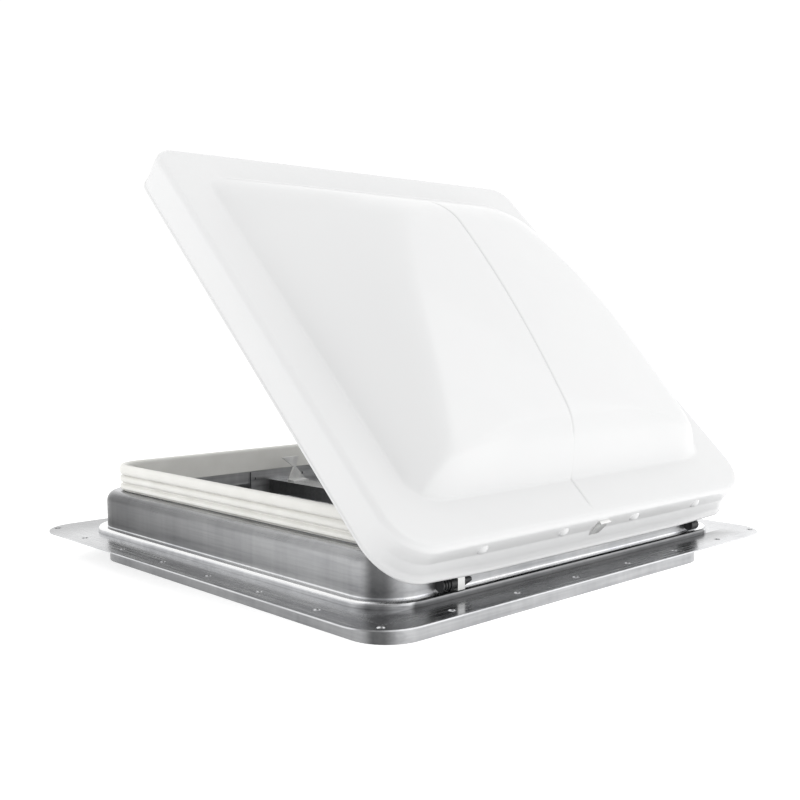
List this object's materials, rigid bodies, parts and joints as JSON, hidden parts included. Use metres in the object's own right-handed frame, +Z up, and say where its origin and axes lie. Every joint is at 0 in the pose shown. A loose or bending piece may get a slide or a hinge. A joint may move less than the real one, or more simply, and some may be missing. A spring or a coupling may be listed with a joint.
{
  "type": "roof vent",
  "caption": "Square roof vent: flanged sheet-metal riser with a ribbed rim gasket, insect screen and hinged domed metal lid raised by a hand crank.",
  "frame": {"origin": "centre of the underside of the roof flange, which is the centre of its four corner screw holes", "axes": "+Z up, out of the roof; the lid's hinge is on the -Y side and runs along X"},
  "size_m": [0.426, 0.426, 0.3155],
  "materials": {
    "galvanised_sheet": "brushed galvanised sheet",
    "white_paint": "gloss white enamel on sheet steel",
    "gasket_rubber": "cream foam rubber",
    "bright_steel": "bright zinc plate",
    "black_plastic": "matt black",
    "cast_zinc": "die cast",
    "gear_steel": "oiled steel",
    "white_plastic": "moulded",
    "screen_wire": "dark woven wire",
    "screen_rim": "mill finish"
  },
  "bodies": {
    "base": {"base_flange": "galvanised_sheet", "lower_collar": "galvanised_sheet", "rim_gasket": "gasket_rubber", "cross_member": "galvanised_sheet", "cross_member_bracket_near": "galvanised_sheet", "cross_member_bracket_far": "galvanised_sheet", "lid_catch": "bright_steel", "hinge_fixed_leaf": "galvanised_sheet", "hinge_leaf_rivets": "bright_steel", "hinge_pin": "bright_steel", "hinge_bush_left": "black_plastic", "hinge_bush_right": "black_plastic", "hinge_end_strap_left": "bright_steel", "hinge_end_strap_right": "bright_steel", "hinge_end_cap_left": "black_plastic", "hinge_end_cap_right": "black_plastic", "hinge_end_clip": "bright_steel", "gear_housing": "cast_zinc", "gear_housing_cover": "cast_zinc", "housing_screws": "bright_steel", "screen_frame": "screen_rim", "screen_mesh": "screen_wire", "screen_grommet": "black_plastic", "screen_clips": "bright_steel", "screen_clip_rivets": "bright_steel"},
    "lid": {"lid_shell": "white_paint", "hinge_moving_leaf": "galvanised_sheet", "lid_rivets": "white_paint", "lid_center_clip": "bright_steel", "lift_track": "galvanised_sheet", "track_bracket_near": "galvanised_sheet", "track_bracket_far": "galvanised_sheet"},
    "arm": {"lift_arm": "bright_steel", "arm_pivot_shaft": "gear_steel", "roller_pin": "bright_steel", "sector_gear": "gear_steel"},
    "rollers": {"track_rollers": "white_plastic"},
    "crank": {"worm": "gear_steel", "crank_shaft": "gear_steel", "crank_handle": "cast_zinc"},
    "knob": {"crank_knob": "white_plastic"}
  },
  "joints": [
    {"name": "lid_hinge", "type": "hinge", "parent": "base", "child": "lid", "pos_m": [0, -0.1755, 0.0215], "axis": [1, 0, 0], "range_deg": [-44, 16]},
    {"name": "arm_pivot", "type": "hinge", "parent": "base", "child": "arm", "pos_m": [0.0385, -0.035, 0.018], "axis": [1, 0, 0], "range_deg": [-88, 32]},
    {"name": "roller_spin", "type": "hinge", "parent": "arm", "child": "rollers", "pos_m": [0.0385, -0.06524, 0.15525], "axis": [1, 0, 0], "continuous": true},
    {"name": "crank_spin", "type": "hinge", "parent": "base", "child": "crank", "pos_m": [0.0193, -0.0115, 0], "axis": [0, 0, 1], "range_deg": [-960, 2640]},
    {"name": "knob_spin", "type": "hinge", "parent": "crank", "child": "knob", "pos_m": [-0.03896, -0.03271, -0.018], "axis": [0, 0, 1], "continuous": true}
  ],
  "couplings": [
    {"joint": "arm_pivot", "follows": "lid_hinge", "ratio": 2},
    {"joint": "crank_spin", "follows": "lid_hinge", "ratio": -60}
  ]
}
